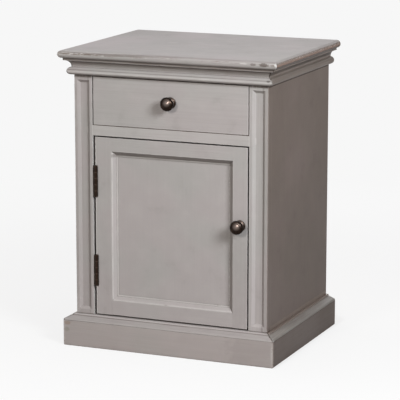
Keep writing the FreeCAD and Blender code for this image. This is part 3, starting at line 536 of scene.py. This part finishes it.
plinth_paint = paint("paint_plinth", "x", chips=0.3, side=PLINTH_SIDE,
                     lines=PLINTH_LINES, spots=PLINTH_SPOTS)
plinth_side_paint = paint("paint_plinth_side", "y", chips=0.3, side=0.0,
                          lines=PLINTH_SIDE_LINES)
post_paint = paint("paint_post", "z", chips=0.15, rub=0.6, side=POST_SIDE,
                   lines=(BELOW_CORNICE_SHADOW, CORNICE_SHADOW), spots=POST_SPOTS)
side_paint = paint("paint_side", "z", chips=0.1, dirt_and_shade=0.2, brush=0.4, side=0.0,
                   lines=SIDE_LINES)
rail_paint = paint("paint_rail", "x", dirt_and_shade=0.75, lines=(BELOW_CORNICE_SHADOW, CORNICE_SHADOW))
mid_rail_paint = paint("paint_mid_rail", "x", rub=0.6, dirt_and_shade=0.3, brush=0.7,
                       lines=MID_RAIL_LINES)
across_paint = paint("paint_across", "x", dirt_and_shade=0.75, brush=0.7)
drawer_paint = paint("paint_drawer", "x", dirt_and_shade=0.75, brush=0.8, lines=DRAWER_LINES)
door_sight = sight()
door_rail_paint = paint("paint_door_across", "x", dirt_and_shade=0.75, brush=0.6, flush=door_sight)
door_stile_paint = paint("paint_door_upright", "z", dirt_and_shade=0.75, brush=0.5, flush=door_sight,
                         spots=STILE_SPOTS)
cross_bead_paint = paint("paint_bead", "x", dirt_and_shade=0.9, brush=0.7, lines=CROSS_BEAD_LINES)
upright_bead_paint = paint("paint_upright", "z", rub=0.55, dirt_and_shade=0.8, brush=0.5,
                           lines=(RAIL_SHADOW,), spots=UPRIGHT_BEAD_SPOTS)
panel_paint = paint("paint_panel", "z", chips=0.1, dirt_and_shade=0.40, brush=0.3,
                    lines=(RAIL_SHADOW,), spots=PANEL_SPOTS)
wood_x, wood_y, wood_z = (bare_wood("wood_" + axis, axis) for axis in "xyz")
knob_bronze = bronze("bronze_knob", 0.7, (crown("drawer_knob"), crown("door_knob")))
hinge_bronze = bronze("bronze", 0.4)
steel_metal = steel("steel")
catch_plastic = plastic("plastic")

MATERIALS = {
    "top_slab": top_paint,
    "cornice_front": cornice_paint,
    "cornice_left": cornice_side_paint,
    "cornice_right": cornice_side_paint,
    "base_cap_front": cap_paint,
    "base_cap_left": cap_side_paint,
    "base_cap_right": cap_side_paint,
    "plinth_front": plinth_paint,
    "plinth_left": plinth_side_paint,
    "plinth_right": plinth_side_paint,
    "drawer_front": drawer_paint,
    "top_rail": rail_paint,
    "mid_rail": mid_rail_paint,
    "bottom_rail": across_paint,
    "door_top_rail": door_rail_paint,
    "door_bottom_rail": door_rail_paint,
    "door_cross_beads": cross_bead_paint,
    "door_upright_beads": upright_bead_paint,
    "door_panel": panel_paint,
    "door_hinge_stile": door_stile_paint,
    "door_latch_stile": door_stile_paint,
    "left_pilaster": post_paint,
    "right_pilaster": post_paint,
    "left_side_panel": side_paint,
    "right_side_panel": side_paint,
    "cupboard_floor": across_paint,
    "shelf": across_paint,
    "divider_panel": across_paint,
    "back_panel": wood_z,
    "plinth_back": wood_x,
    "rear_top_rail": wood_x,
    "plinth_corner_blocks": wood_z,
    "drawer_back": wood_x,
    "drawer_bottom": wood_x,
    "drawer_left_side": wood_y,
    "drawer_right_side": wood_y,
    "left_drawer_runner": wood_y,
    "right_drawer_runner": wood_y,
    "left_drawer_kicker": wood_y,
    "right_drawer_kicker": wood_y,
    "drawer_out_stops": wood_y,
    "drawer_in_stops": wood_y,
    "magnetic_catch": catch_plastic,
    "drawer_knob": knob_bronze,
    "door_knob": knob_bronze,
    "catch_strike_plate": steel_metal,
    "shelf_pegs": steel_metal,
    "top_screws": steel_metal,
    "drawer_knob_screw": steel_metal,
    "door_knob_screw": steel_metal,
}
bronze_pieces = bpy.data.collections.new("metal")
for name, piece in nodes.items():
    material = MATERIALS.get(name, hinge_bronze)      # the rest are parts of the hinges
    piece.data.materials.clear()
    piece.data.materials.append(material)
    if material in (hinge_bronze, knob_bronze):
        bronze_pieces.objects.link(piece)


# ---------------------------------------------------------------- floor, light and camera
BACKGROUND = 0.930                   # how bright the floor and the world are far away
FLOOR_LIT = 0.12                     # how much of that the lamps give, near the object
AMBIENT = 0.10
AMBIENT_COLOR = (1.0, 0.90, 0.82)
FLOOR_SIZE = 40.0
FLOOR_FADE = (0.7, 1.9)              # where the floor's shadow begins to fade, and is gone
NET = (0.252, -0.1967, 0.250, 0.0, 0.650)      # the net's x, and its ranges of y and z
NET_FOOT, NET_HEAD = (0.140, 0.118, 0.110), (0.265, 0.218, 0.200)      # what it lets pass
NET_RIM = (0.950, 0.900, 0.880)
HEAD_FADE, RIM_FADE = (0.10, 0.60), (0.630, 0.641)     # heights over which these take over
# power in watts, size, place and target in metres, colour
RIGHT = (55.5, (0.75, 0.75), (1.920, -1.449, 1.52), (0, 0, 0.40), (0.95, 0.99, 1.01))
LAMPS = {
    "key": (16.8, (0.25, 0.25), (-0.14, -2.20, 1.17), (0, 0, 0.35), (1, 0.97, 0.92)),
    "glint": (24.0, (0.40, 0.40), (0.52, -1.90, 1.42), (0, 0, 0.35), (1, 0.97, 0.93)),
    "right": RIGHT,
    "spark": RIGHT,
    "top": (12.6, (1.2, 1.2), (0.0, 0.1, 2.4), (0, 0, 0.6), (1, 0.965, 1.01)),
    "left": (12.0, (1.2, 0.4), (-2.15, 0.45, 0.45), (0, 0, 0.35), (1, 1, 1)),
    "rear": (17.0, (1.2, 0.4), (-0.50, 2.30, 0.40), (0, 0, 0.35), (1, 1, 1)),
}
UNREFLECTED = ("key", "right")       # lamps that would glare on the top, seen from behind
METAL_LAMPS = ("glint", "spark")     # what the knobs and hinges reflect instead of them
NETTED_LAMP = "right"
EYE = (1.77047, -4.20183, 1.23585)
DOWN, TURNED = 11.521, 22.887        # degrees
FOCAL_PIXELS, IMAGE_PIXELS, SENSOR_WIDTH = 2110.8, 400, 36.0


def floor():
    """A pale floor that keeps a soft shadow near the object and fades to the background."""
    n = Material("floor")
    away = n.length(n.add("TexCoord").outputs["Object"])
    near = n.spread(away, *FLOOR_FADE, 1.0, 0.0)
    plain = n.add("Emission", {"Color": WHITE, "Strength": BACKGROUND}).outputs[0]
    glow = n.add("Emission", {"Color": WHITE, "Strength": BACKGROUND - FLOOR_LIT}).outputs[0]
    lit = n.add("BsdfDiffuse", {"Color": FLOOR_SHADED}).outputs[0]
    shaded = n.add("AddShader", {0: glow, 1: lit}).outputs[0]
    shown = n.add("MixShader", {0: near, 1: plain, 2: shaded}).outputs[0]
    bounce = n.add("BsdfDiffuse", {"Color": FLOOR_BOUNCE}).outputs[0]
    both = n.add("MixShader", {0: n.background_ray(), 1: bounce, 2: shown}).outputs[0]
    n.plug(n.surface, both)
    bpy.ops.mesh.primitive_plane_add(size=FLOOR_SIZE, location=(0, 0, 0))
    plane = bpy.context.object
    plane.name = "floor"
    plane.data.materials.append(n.material)


def side_net():
    """A studio net beside the object, denser at its foot, that only shadow rays meet.

    Returns the collection that keeps it from weakening a lamp.
    """
    x, y0, y1, z0, z1 = NET
    mesh = bpy.data.meshes.new("side_net")
    mesh.from_pydata([(x, y0, z0), (x, y1, z0), (x, y1, z1), (x, y0, z1)], [], [(0, 1, 2, 3)])
    net = bpy.data.objects.new("side_net", mesh)
    scene.collection.objects.link(net)
    n = Material("side_net")
    height = n.xyz(n.add("TexCoord").outputs["Object"])[2]
    passed = n.mix(n.spread(height, *HEAD_FADE), NET_FOOT, NET_HEAD)
    passed = n.mix(n.spread(height, *RIM_FADE), passed, NET_RIM)
    n.plug(n.surface, n.add("BsdfTransparent", {"Color": passed}).outputs[0])
    mesh.materials.append(n.material)
    net.visible_camera = net.visible_diffuse = False
    net.visible_glossy = net.visible_transmission = False
    unnetted = bpy.data.collections.new("side_net")
    unnetted.objects.link(net)
    for item in unnetted.collection_objects:
        item.light_linking.link_state = "EXCLUDE"
    return unnetted


def lamp(name, power, size, place, target, color):
    """A soft box aimed at a point."""
    data = bpy.data.lights.new(name, "AREA")
    data.shape = "RECTANGLE"
    data.size, data.size_y = size
    data.energy = power
    data.color = color
    box = bpy.data.objects.new(name, data)
    box.location = place
    box.rotation_euler = (Vector(target) - Vector(place)).to_track_quat("-Z", "Y").to_euler()
    box.visible_camera = False
    box.visible_glossy = name not in UNREFLECTED
    scene.collection.objects.link(box)
    return box


def world():
    """A little warm ambient light, behind a plain background."""
    data = bpy.data.worlds.new("studio")
    data.use_nodes = True
    scene.world = data
    n = Nodes(data.node_tree)
    n.tree.nodes.clear()
    ambient = n.add("Background", {"Color": AMBIENT_COLOR, "Strength": AMBIENT}).outputs[0]
    shown = n.add("Background", {"Color": WHITE, "Strength": BACKGROUND}).outputs[0]
    both = n.add("MixShader", {0: n.background_ray(), 1: ambient, 2: shown}).outputs[0]
    n.add("OutputWorld", {"Surface": both})


def camera():
    """The photograph's camera."""
    data = bpy.data.cameras.new("camera")
    data.sensor_width = SENSOR_WIDTH
    data.lens = FOCAL_PIXELS / IMAGE_PIXELS * SENSOR_WIDTH
    data.clip_end = 100.0
    eye = bpy.data.objects.new("camera", data)
    eye.location = EYE
    eye.rotation_euler = (radians(90 - DOWN), 0, radians(TURNED))
    scene.collection.objects.link(eye)
    scene.camera = eye


floor()
unnetted = side_net()
for name, settings in LAMPS.items():
    box = lamp(name, *settings)
    if name in METAL_LAMPS:
        box.light_linking.receiver_collection = bronze_pieces
    if name != NETTED_LAMP:
        box.light_linking.blocker_collection = unnetted
world()
camera()

scene.view_settings.view_transform = "Standard"
